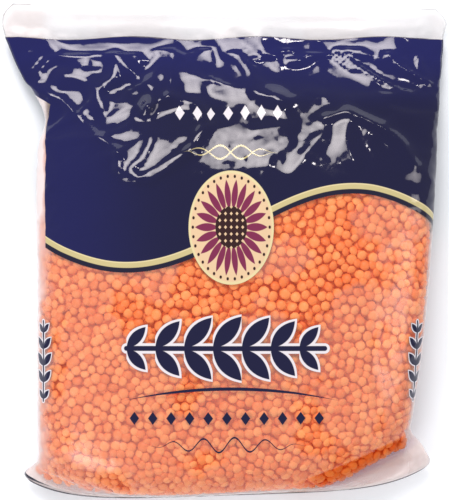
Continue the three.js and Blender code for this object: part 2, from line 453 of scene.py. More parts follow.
def pack(grid, rows_used, rng):
    """Packs round things evenly over the grid's surface: random places, each pushed off its neighbours."""
    along = np.gradient(grid, axis=0)
    around = (np.roll(grid, -1, axis=1) - np.roll(grid, 1, axis=1)) / 2
    area = np.linalg.norm(np.cross(along, around), axis=-1)
    area[: rows_used[0]] = 0
    area[rows_used[1]:] = 0
    mean_width = sum(LENTIL_WIDTHS) / 2
    count = int(LENTIL_COVER * area.sum() / (math.pi * mean_width ** 2 / 4))
    cells = rng.choice(area.size, size=count, p=area.ravel() / area.sum())
    rows = cells // grid.shape[1] + rng.random(count)
    columns = cells % grid.shape[1] + rng.random(count)
    widths = rng.uniform(*LENTIL_WIDTHS, count)
    for _ in range(PACKING_ROUNDS):
        points = read_grid(grid, rows, columns)
        tree = KDTree(count)
        for index, point in enumerate(points):
            tree.insert(point, index)
        tree.balance()
        found = [[near[1] for near in tree.find_n(point, NEIGHBOURS)] for point in points]
        away = points[:, None] - points[np.array(found)]
        distance = np.linalg.norm(away, axis=-1)
        overlap = np.maximum(0, (widths[:, None] + widths[np.array(found)]) / 2 - distance)
        push = (away * (overlap / 2 / np.maximum(distance, TINY))[..., None]).sum(axis=1)
        steps = read_grid(along, rows, columns), read_grid(around, rows, columns)
        for step, places in zip(steps, (rows, columns)):
            places += (push * step).sum(axis=1) / np.maximum((step * step).sum(axis=1), TINY)
        rows = np.clip(rows, *rows_used)
    return rows, columns, widths


def lentil_shape():
    """One lentil: a flattened round grain, 1 unit across."""
    half_thick = LENTIL_FLATNESS / 2
    points = []
    for radius, height in LENTIL_RINGS:
        for turn in np.arange(LENTIL_SIDES) * math.tau / LENTIL_SIDES:
            points.append((radius * math.cos(turn) / 2, radius * math.sin(turn) / 2, height * half_thick))
    poles = [(0, 0, half_thick), (0, 0, -half_thick)]
    faces = []
    last = len(points) - LENTIL_SIDES
    for side in range(LENTIL_SIDES):
        beside = (side + 1) % LENTIL_SIDES
        for ring in range(0, last, LENTIL_SIDES):
            below = ring + LENTIL_SIDES
            faces.append((ring + side, below + side, below + beside, ring + beside))
        faces.append((len(points), side, beside))
        faces.append((len(points) + 1, last + beside, last + side))
    return new_mesh("one_lentil", points + poles, faces, unit=1)


def add(tree, kind, *inputs, sockets=None, output=0, **settings):
    """Adds a node with its settings, gives its inputs values or links, in order or by identifier, and returns
    one of its outputs."""
    node = tree.nodes.new(kind)
    for setting, value in settings.items():
        setattr(node, setting, value)
    by_identifier = {socket.identifier: socket for socket in node.inputs}
    given = list(zip(node.inputs, inputs))
    given += [(by_identifier[name], value) for name, value in (sockets or {}).items()]
    for socket, value in given:
        if isinstance(value, bpy.types.NodeSocket):
            tree.links.new(value, socket)
        elif value is not None:
            socket.default_value = value
    return node.outputs[output] if node.outputs else None


def lentil_tree():
    """Puts a lentil on every point, turned to the point's axis, each with its own spin and tone."""
    tree = bpy.data.node_groups.new("lentils_on_points", "GeometryNodeTree")
    face = tree.interface
    face.new_socket("Geometry", in_out="OUTPUT", socket_type="NodeSocketGeometry")
    face.new_socket("Geometry", in_out="INPUT", socket_type="NodeSocketGeometry")
    for name, kind in (
        ("Lentil", "NodeSocketObject"), ("Finish", "NodeSocketMaterial"),
        ("Unit Width", "NodeSocketFloat"), ("Seed", "NodeSocketInt"),
    ):
        face.new_socket(name, in_out="INPUT", socket_type=kind)
    given = add(tree, "NodeGroupInput").node.outputs
    axis = add(tree, "GeometryNodeInputNamedAttribute", "axis", data_type="FLOAT_VECTOR")
    width = add(tree, "GeometryNodeInputNamedAttribute", "width", data_type="FLOAT")
    turned = add(tree, "FunctionNodeAlignRotationToVector", sockets={"Vector": axis}, axis="Z")
    spins = {"Min": (0, 0, 0), "Max": (0, 0, math.tau), "Seed": given["Seed"]}
    spin = add(tree, "FunctionNodeRandomValue", sockets=spins, data_type="FLOAT_VECTOR")
    rotation = add(tree, "FunctionNodeRotateRotation", turned, spin, rotation_space="LOCAL")
    scale = add(tree, "ShaderNodeMath", width, given["Unit Width"], operation="MULTIPLY")
    grain = add(tree, "GeometryNodeObjectInfo", given["Lentil"], output="Geometry")
    placing = {"Points": given["Geometry"], "Instance": grain, "Rotation": rotation, "Scale": scale}
    placed = add(tree, "GeometryNodeInstanceOnPoints", sockets=placing)
    tone = add(tree, "FunctionNodeRandomValue", sockets={"Seed": given["Seed"]}, output=1, data_type="FLOAT")
    toned = add(tree, "GeometryNodeStoreNamedAttribute", placed, None, "tone", tone, domain="INSTANCE",
                data_type="FLOAT")
    real = add(tree, "GeometryNodeRealizeInstances", toned)
    finished = add(tree, "GeometryNodeSetMaterial", real, None, given["Finish"])
    add(tree, "NodeGroupOutput", finished)
    return tree


def made_real(piece, name):
    """A plain mesh of what a piece's modifiers make of it, in the piece's place."""
    made = bpy.data.meshes.new_from_object(piece.evaluated_get(bpy.context.evaluated_depsgraph_get()))
    made.name = name
    real = bpy.data.objects.new(name, made)
    bpy.context.scene.collection.objects.link(real)
    bpy.data.objects.remove(piece)
    return real


def make_lentils(name, points, axes, widths, tree, finish, seed):
    """One piece of lentils, from their places, the way each one faces, and their widths."""
    cloud = new_mesh(name + "_points", points)
    store(cloud, "axis", "FLOAT_VECTOR", axes)
    store(cloud, "width", "FLOAT", widths)
    lentil = lentil_shape()
    nodes = cloud.modifiers.new("Lentils", "NODES")
    nodes.node_group = tree
    values = {"Lentil": lentil, "Finish": finish, "Unit Width": MM, "Seed": seed}
    for item in tree.interface.items_tree:
        if item.in_out == "INPUT" and item.name in values:
            nodes[item.identifier] = values[item.name]
    made = made_real(cloud, name)
    bpy.data.objects.remove(lentil)
    return made


def lentil_layer(grid, flat, rows_used, depth, rng):
    """A layer of packed lentils: their places, how they face, their widths, and where the film has them."""
    rows, columns, widths = pack(grid, rows_used, rng)
    out = read_grid(grid_normals(grid), rows, columns)
    out /= np.linalg.norm(out, axis=1, keepdims=True)
    tilt = rng.uniform(*LENTIL_TILTS, len(rows))
    lean = np.cross(out, rng.normal(size=out.shape))
    lean /= np.linalg.norm(lean, axis=1, keepdims=True)
    axes = out * np.cos(tilt)[:, None] + lean * np.sin(tilt)[:, None]
    reach = widths / 2 * np.hypot(np.sin(tilt), LENTIL_FLATNESS * np.cos(tilt))
    points = read_grid(grid, rows, columns) - out * (depth + reach)[:, None]
    points[:, 2] = np.maximum(points[:, 2], FLOOR_GAP + widths / 2)
    pushed = beyond_heap(points[:, :2])
    points[:, :2] -= pushed
    x, y, _ = points.T
    in_ear = np.any([(x / side > 1) & (y < height) for side, height in EARS_CLEAR], axis=0)
    on_back = (y > BACK_CLEAR) & ~pushed.any(axis=1)
    in_body = ~in_ear & ((out[:, 2] > 0) | on_back)
    sheet = read_grid(flat[:, :-1], rows, columns % (2 * COLUMNS - 1))
    return points[in_body], axes[in_body], widths[in_body], sheet[in_body]


def beyond_heap(places):
    """How far, and which way, each place in plan is past the edge of the heap at the lower right."""
    start, end = np.array(HEAP_EDGE, float)
    run = end - start
    square = np.array([-run[1], run[0]]) / np.hypot(*run)
    return np.maximum(0, (places - start) @ square)[:, None] * square


# The print on the film's flat sheet, in millimetres across from the front's middle and up from the bag's
WAVE_MIDDLE = 11.8
WAVE_RISE = 17.4
WAVE_SHIFT = 7
WAVE_HALF = 100  # from a low point of the wave to the next high one
GOLD_BAND = 2.6
PALE_LINE = 0.5
NAVY_LINE = 2.1
PRINT_TOP = 97
TOP_WAVE = 0.7
TOP_WAVE_LENGTH = 57
HEADER_TINT = (62, 88)  # the field turns bluer between these heights
LIT_SIDE_TINT = (-15, -75, 0, 0.7)  # and, as painted light, lighter towards its left side
FLAP = ((56, -82.5), (66, -79.5), (80, -106))  # the field's left edge: how far up, and how far across
FIELD_MARGIN = 6  # how far round a print its own finish reaches
EDGE_BLUR = 0.12

# The print's ornaments, in millimetres: where the middle of each is, and its sizes
ONE_ROW = 1000  # a pitch so long that only one row shows
MEDALLION = (2.9, 9.6)
MEDALLION_RADII = (18.6, 25.2)
MEDALLION_RIM = 1.1
BEADS = 34
BEAD_RING = 0.9  # where the beads are, as a share of the oval
BEAD_RADIUS = 0.65
PETALS = 22
PETAL_SPAN = (0.3, 0.85)  # where the petals begin and end, as shares of the oval
PETAL_WIDTH = 1.55
ROSETTE_HEART = 0.37
LATTICE = dict(pitch=(2.5, 3.0), half_size=(0.65, 0.8))
SCROLL = (2.5, 43)
SCROLL_LINE = dict(length=38, rise=3.2, wave=19, half_width=0.45)
WHITE_LOZENGES = dict(centre=(1.4, 60.8), count=7, colour="white", pitch=(7.2, ONE_ROW), half_size=(2.0, 3.1))
GARLAND = (1.1, -43.4)
GARLAND_LEAVES = dict(pitch=12.6, pairs=7, length=9.4, width=3.6, lean=0.84, stem=1.1)
GARLAND_OUTLINE = 1.2
RULE = (3, -66)
RULE_LINE = dict(half=46, rise=5, half_width=0.75)
NAVY_LOZENGES = dict(centre=(1, -73.9), count=11, colour="navy", pitch=(8.1, ONE_ROW), half_size=(2.1, 2.9))
HAIRLINE = (1, -86)
HAIRLINE_WAVE = dict(length=68, rise=3.4, wave=13.6, half_width=0.45)
SIDE_GARLANDS = ((-84, -49), (89, -49))
SIDE_LEAVES = dict(pitch=7.4, pairs=5, length=3.8, width=1.6, lean=0.72, stem=0.5)
SIDE_OUTLINE = 0.6
END_SHRINK = 0.45  # how much smaller a garland's last leaves are
LAST_LEAF_CUT = 1.4  # how far before the next pair of leaves a garland ends
ORNAMENT_BOXES = ((GARLAND, (50, 16)), (RULE, (50, 6)), (NAVY_LOZENGES["centre"], (48, 5)),
                  (HAIRLINE, (36, 5)), (SIDE_GARLANDS[0], (6, 22)), (SIDE_GARLANDS[1], (6, 22)))

INK = {
    "navy": "0a0a34",
    "header and lit side navy": "101352",
    "navy edge": "13122c",
    "gold": "bcb180",
    "pale gold": "d4c89b",
    "cream": "d6ba96",
    "plum": "742449",
    "brown": "2c1114",
    "white": "d9d6dc",
}

MATH = "ShaderNodeMath"
VECTOR = "ShaderNodeVectorMath"
SPLIT = "ShaderNodeSeparateXYZ"
RAMP = "ShaderNodeMapRange"
BLEND = "ShaderNodeMix"
NOISE = "ShaderNodeTexNoise"
CELLS = "ShaderNodeTexVoronoi"


def wave_height(across):
    """Where the dark field's wavy lower edge is on the flat film."""
    return WAVE_MIDDLE + WAVE_RISE * np.sin(np.pi * (across - WAVE_SHIFT) / WAVE_HALF)


WHITE = "ffffff"


def linear(colour):
    """Turns an sRGB hex colour into linear red, green and blue."""
    channels = [int(colour[start:start + 2], 16) / 255 for start in (0, 2, 4)]
    return [c / 12.92 if c <= 0.04045 else ((c + 0.055) / 1.055) ** 2.4 for c in channels] + [1]


def marks(size, **more):
    """The inputs of a pattern, from the size of its marks in millimetres."""
    return {"Scale": 1 / (size * MM), **more}


def new_material(name):
    """An empty material and its node tree."""
    material = bpy.data.materials.new(name)
    material.use_nodes = True
    material.node_tree.nodes.clear()
    return material, material.node_tree


# The lentils' finishes: each layer's name, deepest and palest seed, and painted glow as a share of its colour
LENTIL_FINISHES = (
    ("hulled_red_lentil", "e1651c", "f39652", 0.07),
    # the lower layer: the same seed, painted darker as in shade, with more painted glow
    ("shaded_lower_lentil", "e05f19", "ec8441", 0.17),
)
LENTIL_SKIN = {"Roughness": 0.5, "IOR": 1.5, "Specular IOR Level": 0.35}
DUST = "ef955a"
DUST_SPECKS = marks(1.11)  # coarser than real dust, so that it shows
MOST_DUST = 0.3
CORE_SEEDS = ("e2641b", "b0470f")
CORE_GRAINS = marks(4.35)  # as wide as a lentil
# a painted glow, as a share of the colour, which lightens the shaded core
CORE_PAINTED_GLOW = 0.22
CORE_ROUGHNESS = 0.7


def lentil_finish(name, deep, pale, painted_glow):
    """Dry hulled red lentils: smooth, slightly dusty seed, from deep orange to peach from one to the next.
    A painted glow of their own stands in for the light that spreads inside such small grains, and fills the
    gaps."""
    material, tree = new_material(name)
    tone = add(tree, "ShaderNodeAttribute", attribute_name="tone", output="Fac")
    place = add(tree, "ShaderNodeTexCoord", output="Object")
    tones = {"Factor_Float": tone, "A_Color": linear(deep), "B_Color": linear(pale)}
    seed = add(tree, BLEND, sockets=tones, output="Result", data_type="RGBA")
    specks = add(tree, NOISE, sockets={"Vector": place, **DUST_SPECKS})
    dust = add(tree, MATH, specks, MOST_DUST, operation="MULTIPLY")
    dusty = {"Factor_Float": dust, "A_Color": seed, "B_Color": linear(DUST)}
    colour = add(tree, BLEND, sockets=dusty, output="Result", data_type="RGBA")
    skin = {**LENTIL_SKIN, "Base Color": colour, "Emission Color": colour, "Emission Strength": painted_glow}
    add(tree, "ShaderNodeOutputMaterial", add(tree, "ShaderNodeBsdfPrincipled", sockets=skin))
    return material


def core_finish():
    """Lentils deeper in the bag, seen only through the gaps: the same seed, painted browner as in its own
    shade, and lit by a weak painted glow.
    """
    material, tree = new_material("lentils_in_shade")
    place = add(tree, "ShaderNodeTexCoord", output="Object")
    grains = add(tree, CELLS, sockets={"Vector": place, **CORE_GRAINS})
    tones = {"Factor_Float": grains, "A_Color": linear(CORE_SEEDS[0]), "B_Color": linear(CORE_SEEDS[1])}
    colour = add(tree, BLEND, sockets=tones, output="Result", data_type="RGBA")
    skin = {"Base Color": colour, "Roughness": CORE_ROUGHNESS, "Emission Color": colour,
            "Emission Strength": CORE_PAINTED_GLOW}
    add(tree, "ShaderNodeOutputMaterial", add(tree, "ShaderNodeBsdfPrincipled", sockets=skin))
    return material


def inside(tree, distance, margin=0.0):
    """1 where a distance is under a margin and 0 outside, with a soft edge as ink has."""
    return add(tree, RAMP, distance, margin - EDGE_BLUR, margin + EDGE_BLUR, 1.0, 0.0)


def about(tree, place, centre):
    """Measures a place on the film from the middle of an ornament, as a vector and as its across and up."""
    local = add(tree, VECTOR, place, (*centre, 0), operation="SUBTRACT")
    across, up, _ = add(tree, SPLIT, local).node.outputs
    return local, across, up


def lozenges(tree, local, pitch, half_size):
    """How far outside the nearest lozenge each point is, in rows and columns a pitch apart."""
    cell = (pitch[0] / 2, pitch[1] / 2, 1)
    near = add(tree, VECTOR, local, cell, [-half for half in cell], operation="WRAP")
    near = add(tree, VECTOR, near, operation="ABSOLUTE")
    slopes = (1 / half_size[0], 1 / half_size[1], 0)
    share = add(tree, VECTOR, near, slopes, operation="DOT_PRODUCT", output="Value")
    return add(tree, MATH, share, half_size[0], -half_size[0], operation="MULTIPLY_ADD")


def swelling(tree, along, half, fall=1.0):
    """1 in the middle of a line, falling by a share at its ends."""
    share = add(tree, MATH, along, half, operation="DIVIDE")
    share = add(tree, MATH, share, share, operation="MULTIPLY")
    return add(tree, MATH, share, -fall, 1.0, operation="MULTIPLY_ADD")


def garland(tree, along, side, pitch, pairs, length, width, lean, stem):
    """How far outside a garland each point is: a stem with pairs of leaves, smaller towards its ends."""
    half_run = pitch * pairs / 2
    local = add(tree, MATH, along, pitch / 2, -pitch / 2, operation="WRAP")
    centre = add(tree, MATH, along, local, operation="SUBTRACT")
    shrink = swelling(tree, centre, half_run, END_SHRINK)
    away = add(tree, MATH, side, operation="ABSOLUTE")
    root = add(tree, MATH, local, length * math.cos(lean), operation="ADD")
    spot = add(tree, "ShaderNodeCombineXYZ", root, away)
    leaf = (math.cos(lean), math.sin(lean), 0)
    beside = (-math.sin(lean), math.cos(lean), 0)
    ahead = add(tree, VECTOR, spot, leaf, operation="DOT_PRODUCT", output="Value")
    aside = add(tree, VECTOR, spot, beside, operation="DOT_PRODUCT", output="Value")
    half_length = add(tree, MATH, shrink, length, operation="MULTIPLY")
    belly = swelling(tree, add(tree, MATH, ahead, half_length, operation="SUBTRACT"), half_length)
    belly = add(tree, MATH, belly, shrink, operation="MULTIPLY")
    aside = add(tree, MATH, aside, operation="ABSOLUTE")
    blade = add(tree, MATH, belly, -width, aside, operation="MULTIPLY_ADD")
    past_tip = add(tree, MATH, along, half_run - LAST_LEAF_CUT, operation="SUBTRACT")
    past_root = add(tree, MATH, -half_run, along, operation="SUBTRACT")
    past_ends = add(tree, MATH, past_tip, past_root, operation="MAXIMUM")
    blade = add(tree, MATH, blade, past_ends, operation="MAXIMUM")
    from_stem = add(tree, "ShaderNodeCombineXYZ", add(tree, MATH, past_ends, 0.0, operation="MAXIMUM"), away)
    from_stem = add(tree, VECTOR, from_stem, operation="LENGTH", output="Value")
    stalk = add(tree, MATH, from_stem, stem, operation="SUBTRACT")
    return add(tree, MATH, blade, stalk, operation="MINIMUM")


def waving(tree, across, length):
    """Goes from 1 to -1 and back once in each length of a wave."""
    turn = add(tree, MATH, across, math.tau / length, operation="MULTIPLY")
    return add(tree, MATH, turn, operation="SINE")


def thin_line(tree, up, height, swell, half_width):
    """How far outside a line at a height each point is, where the line thins out to a hair at its ends."""
    away = add(tree, MATH, add(tree, MATH, up, height, operation="SUBTRACT"), operation="ABSOLUTE")
    return add(tree, MATH, swell, -half_width, away, operation="MULTIPLY_ADD")


def wavy_line(tree, across, up, length, rise, wave, half_width):
    """How far outside a thin wavy line each point is."""
    swell = swelling(tree, across, length / 2)
    height = add(tree, MATH, waving(tree, across, wave), rise, operation="MULTIPLY")
    height = add(tree, MATH, height, swell, operation="MULTIPLY")
    return thin_line(tree, up, height, swell, half_width)


def arched_rule(tree, across, up, half, rise, half_width):
    """How far outside a shallow arched rule each point is."""
    swell = swelling(tree, across, half)
    return thin_line(tree, up, add(tree, MATH, swell, rise, operation="MULTIPLY"), swell, half_width)


def round_the_oval(tree, turn, count):
    """The angle from each point to the nearest of a number of places spread round an oval."""
    return add(tree, MATH, turn, math.pi / count, -math.pi / count, operation="WRAP")


def beads(tree, turn, out, radius):
    """How far outside a ring of small beads each point is."""
    sideways = add(tree, MATH, round_the_oval(tree, turn, BEADS), BEAD_RING * radius, operation="MULTIPLY")
    outward = add(tree, MATH, out, radius, -BEAD_RING * radius, operation="MULTIPLY_ADD")
    spot = add(tree, "ShaderNodeCombineXYZ", sideways, outward)
    away = add(tree, VECTOR, spot, operation="LENGTH", output="Value")
    return add(tree, MATH, away, BEAD_RADIUS, operation="SUBTRACT")


def petals(tree, turn, out, radius):
    """How far outside a rosette of long petals each point is."""
    angle = add(tree, MATH, round_the_oval(tree, turn, PETALS), operation="ABSOLUTE")
    sideways = add(tree, MATH, angle, out, operation="MULTIPLY")
    sideways = add(tree, MATH, sideways, radius, operation="MULTIPLY")
    middle, half = sum(PETAL_SPAN) / 2, (PETAL_SPAN[1] - PETAL_SPAN[0]) / 2
    swell = swelling(tree, add(tree, MATH, out, middle, operation="SUBTRACT"), half)
    return add(tree, MATH, swell, -PETAL_WIDTH, sideways, operation="MULTIPLY_ADD")


class Print:
    """The inks laid on the clear film one over another, with the colour and the cover that they add up to."""

    def __init__(self, tree):
        self.tree = tree
        self.colour = linear(INK["navy"])
        self.cover = 0.0

    def lay(self, ink, distance, margin=0.0, where=None):
        """Lays one ink where a distance is under a margin, and within a mask if one is given."""
        mask = inside(self.tree, distance, margin)
        if where is not None:
            mask = add(self.tree, MATH, mask, where, operation="MULTIPLY")
        over = {"Factor_Float": mask, "A_Color": self.colour, "B_Color": linear(INK[ink])}
        self.colour = add(self.tree, BLEND, sockets=over, output="Result", data_type="RGBA")
        self.cover = add(self.tree, MATH, mask, self.cover, operation="MAXIMUM")


def lay_fields(tree, ink, place):
    """The dark field with its gold and navy edge, bluer in the header, painted lighter towards its left side
    as lit there, and its clear stripe at the left.
    """
    across, up, _ = add(tree, SPLIT, place).node.outputs
    per_mm = math.pi / WAVE_HALF
    turn = add(tree, MATH, across, per_mm, -WAVE_SHIFT * per_mm, operation="MULTIPLY_ADD")
    wave = add(tree, MATH, turn, operation="SINE")
    wave = add(tree, MATH, wave, WAVE_RISE, WAVE_MIDDLE, operation="MULTIPLY_ADD")
    slope = add(tree, MATH, turn, operation="COSINE")
    slope = add(tree, MATH, slope, WAVE_RISE * per_mm, operation="MULTIPLY")
    stretch = add(tree, MATH, slope, slope, 1.0, operation="MULTIPLY_ADD")
    stretch = add(tree, MATH, stretch, operation="INVERSE_SQRT")
    below = add(tree, MATH, add(tree, MATH, wave, up, operation="SUBTRACT"), stretch, operation="MULTIPLY")
    top = add(tree, MATH, waving(tree, across, TOP_WAVE_LENGTH), -TOP_WAVE, up, operation="MULTIPLY_ADD")
    (low, low_edge), (tip, tip_edge), (high, high_edge) = FLAP
    under_tip = add(tree, RAMP, up, low, tip, low_edge, tip_edge)
    over_tip = add(tree, RAMP, up, tip, high, tip_edge, high_edge)
    left_edge = add(tree, MATH, under_tip, over_tip, operation="MINIMUM")
    in_print = inside(tree, add(tree, MATH, left_edge, across, operation="SUBTRACT"))
    field = add(tree, MATH, inside(tree, top, PRINT_TOP), in_print, operation="MULTIPLY")
    for margin, name in ((GOLD_BAND + NAVY_LINE, "navy edge"), (GOLD_BAND, "gold"), (PALE_LINE, "pale gold"),
                         (0.0, "navy")):
        ink.lay(name, below, margin, field)
    # painted light: the field is lighter and bluer towards its left side
    lit_side_tint = add(tree, RAMP, across, *LIT_SIDE_TINT, interpolation_type="SMOOTHSTEP")
    tint = add(tree, MATH, add(tree, RAMP, up, *HEADER_TINT), lit_side_tint, operation="MAXIMUM")
    ink.lay("header and lit side navy", below, where=add(tree, MATH, field, tint, operation="MULTIPLY"))


def lay_medallion(tree, ink, place):
    """A gold-rimmed cream oval with a ring of beads round a rosette, whose heart is a lattice."""
    local, _, _ = about(tree, place, MEDALLION)
    share = add(tree, VECTOR, local, (*MEDALLION_RADII, 1), operation="DIVIDE")
    out = add(tree, VECTOR, share, operation="LENGTH", output="Value")
    across, up, _ = add(tree, SPLIT, share).node.outputs
    turn = add(tree, MATH, up, across, operation="ARCTAN2")
    radius = sum(MEDALLION_RADII) / 2
    rim = add(tree, MATH, out, radius, -radius, operation="MULTIPLY_ADD")
    heart = (ROSETTE_HEART - 1) * radius
    ink.lay("pale gold", rim)
    ink.lay("cream", rim, -MEDALLION_RIM)
    ink.lay("brown", beads(tree, turn, out, radius))
    ink.lay("plum", petals(tree, turn, out, radius))
    ink.lay("brown", rim, heart)
    ink.lay("cream", lozenges(tree, local, **LATTICE), where=inside(tree, rim, heart))


def lay_lozenge_row(tree, ink, place, centre, count, colour, pitch, half_size):
    """A row of lozenges of one colour."""
    local, across, _ = about(tree, place, centre)
    in_row = inside(tree, add(tree, MATH, across, operation="ABSOLUTE"), count * pitch[0] / 2)
    ink.lay(colour, lozenges(tree, local, pitch, half_size), where=in_row)


def lay_upper_ornaments(tree, ink, place):
    """The gold scroll and the white lozenges on the dark field."""
    _, across, up = about(tree, place, SCROLL)
    for height in (up, add(tree, MATH, up, -1.0, operation="MULTIPLY")):
        ink.lay("gold", wavy_line(tree, across, height, **SCROLL_LINE))
    lay_lozenge_row(tree, ink, place, **WHITE_LOZENGES)


def lay_lower_ornaments(tree, ink, place):
    """Below the wave, the leafy garlands, the rule, a row of lozenges and a wavy hairline."""
    _, across, up = about(tree, place, GARLAND)
    garlands = [(garland(tree, across, up, **GARLAND_LEAVES), GARLAND_OUTLINE)]
    for centre in SIDE_GARLANDS:
        _, across, up = about(tree, place, centre)
        garlands.append((garland(tree, up, across, **SIDE_LEAVES), SIDE_OUTLINE))
    for leaves, outline in garlands:
        ink.lay("white", leaves, outline)
        ink.lay("navy", leaves)
    _, across, up = about(tree, place, RULE)
    ink.lay("navy", arched_rule(tree, across, up, **RULE_LINE))
    lay_lozenge_row(tree, ink, place, **NAVY_LOZENGES)
    _, across, up = about(tree, place, HAIRLINE)
    ink.lay("navy", wavy_line(tree, across, up, **HAIRLINE_WAVE))


# The film's finish. A ramp is two readings and what each gives; its heights and widths are in millimetres.
FILM_IOR = 1.49  # that of polypropylene
FILM_ROUGHNESS = 0.06
OVER_LENTILS_ROUGHNESS = 0.28  # lentils press the film into small bumps, which blur its reflections
BACK_SHINE = 0.04  # how much the film reflects on the side that faces the lentils
CLEAR_TINT = "fcfcfc"
SEAL_LINE = (-95, -60, 5.5, 1.5)  # how wide the dark line along the seal is, from its left ear on
CRINKLES = marks(16.7, Detail=3.0)
LENTIL_BUMPS = marks(4.17)  # as far apart as the lentils under the film
BUMPS_END = (50, 64, 0.8, 0)  # there are none above the filling
BUMP = {"Strength": 0.14, "Distance": 1.5 * MM}
HAZE_AND_GLARE_COLOURS = ("d2b4a8", "f7f2f5")  # where there is little haze, and where there is most haze and painted glare
MOST_HAZE_AND_GLARE = 0.78
ISLAND_NOISE = marks(33.3, Detail=3.0)
ISLAND_EDGE = (0.5, 0.55, 0.01, 0.14)  # where the noise makes a milky island, and how milky it is
LOW_ISLANDS = (-95, 10, 0.12, 0)  # there are more of them low on the bag
RAGGED_NOISE = marks(11.1, Detail=2.0)
RAGGED_DEPTH = 16  # how far in and out the veils' ragged edges go
LEFT_GLARE_VEIL = (-99, -85, 0.55, 0)  # the milky veils at the bag's sides, painted glare that stands in for the film's reflections where it turns away
RIGHT_GLARE_VEIL = (100, 112, 0, 0.45)
RIGHT_GLARE_VEIL_LOW = (-90, -30, 11, 0)  # how much further in the right veil reaches, low on the bag
GLARE_STRIPE_WIDTH = (-86, -81, 0.7, 0)  # the milky stripe beside the print, a painted highlight on the film's turned edge
GLARE_STRIPE_HEIGHT = (12, 24)  # and between which heights it begins
HEADER_CLEARS = (88, 98, 1, 0.22)  # all the haze and painted glare thins out here
# Shaded strips beside folds: the fold's right end, which way is square to it and down, and where the strip
# begins and ends across the fold and along it
LOWER_FOLD = dict(start=(75, -85.4), down=(0.385, -0.923), across=((0, 1, 0, 1), (6, 9, 1, 0)),
                  along=((-50, -30, 0, 1), (4, 7, 1, 0)))
LOWER_FOLD_SHADE = "ecd4bc"
EAR_FOLD = dict(start=(81, -87), down=(0.464, -0.886), across=((-0.5, 0.5, 0, 1), (3, 5.5, 1, 0)),
                along=((-42, -28, 0, 1), (3, 9, 1, 0)))
EAR_FOLD_SHADE = "e7e6f1"


def haze_and_painted_glare(tree, place, across, up):
    """How milky the clear film is: in sharp-edged islands where it stands off the lentils, and with painted
    glare, a milky veil for its reflections, at the bag's sides and most of all in the narrow stripe beside
    the print."""
    noise = add(tree, NOISE, sockets={"Vector": place, **ISLAND_NOISE})
    islands = add(tree, MATH, noise, add(tree, RAMP, up, *LOW_ISLANDS), operation="ADD")
    islands = add(tree, RAMP, islands, *ISLAND_EDGE)
    ragged = add(tree, NOISE, sockets={"Vector": place, **RAGGED_NOISE})
    left = add(tree, MATH, ragged, -RAGGED_DEPTH, across, operation="MULTIPLY_ADD")
    right = add(tree, MATH, ragged, RAGGED_DEPTH, across, operation="MULTIPLY_ADD")
    right = add(tree, MATH, right, add(tree, RAMP, up, *RIGHT_GLARE_VEIL_LOW), operation="ADD")
    beside_print = add(tree, RAMP, up, *GLARE_STRIPE_HEIGHT)
    stripe = add(tree, MATH, add(tree, RAMP, across, *GLARE_STRIPE_WIDTH), beside_print, operation="MULTIPLY")
    total = islands
    for more in (add(tree, RAMP, left, *LEFT_GLARE_VEIL), add(tree, RAMP, right, *RIGHT_GLARE_VEIL), stripe):
        total = add(tree, MATH, total, more, operation="ADD")
    total = add(tree, MATH, total, MOST_HAZE_AND_GLARE, operation="MINIMUM")
    return add(tree, MATH, total, add(tree, RAMP, up, *HEADER_CLEARS), operation="MULTIPLY")


def fold_strip(tree, place, start, down, across, along):
    """1 in the strip beside a fold, which lies in the fold's shade."""
    local, aside, _ = about(tree, add(tree, VECTOR, place, TO_MILLIMETRES, operation="MULTIPLY"), start)
    below = add(tree, VECTOR, local, (*down, 0), operation="DOT_PRODUCT", output="Value")
    strip = 1.0
    for distance, edges in ((below, across), (aside, along)):
        for edge in edges:
            strip = add(tree, MATH, strip, add(tree, RAMP, distance, *edge), operation="MULTIPLY")
    return strip


def film_bumps(tree, place, up):
    """The film's small relief: fine crinkles, and the bumps that lentils press into it."""
    crinkle = add(tree, NOISE, sockets={"Vector": place, **CRINKLES})
    grains = add(tree, CELLS, sockets={"Vector": place, **LENTIL_BUMPS}, feature="SMOOTH_F1")
    height = add(tree, MATH, grains, add(tree, RAMP, up, *BUMPS_END), crinkle, operation="MULTIPLY_ADD")
    return add(tree, "ShaderNodeBump", sockets={**BUMP, "Height": height})


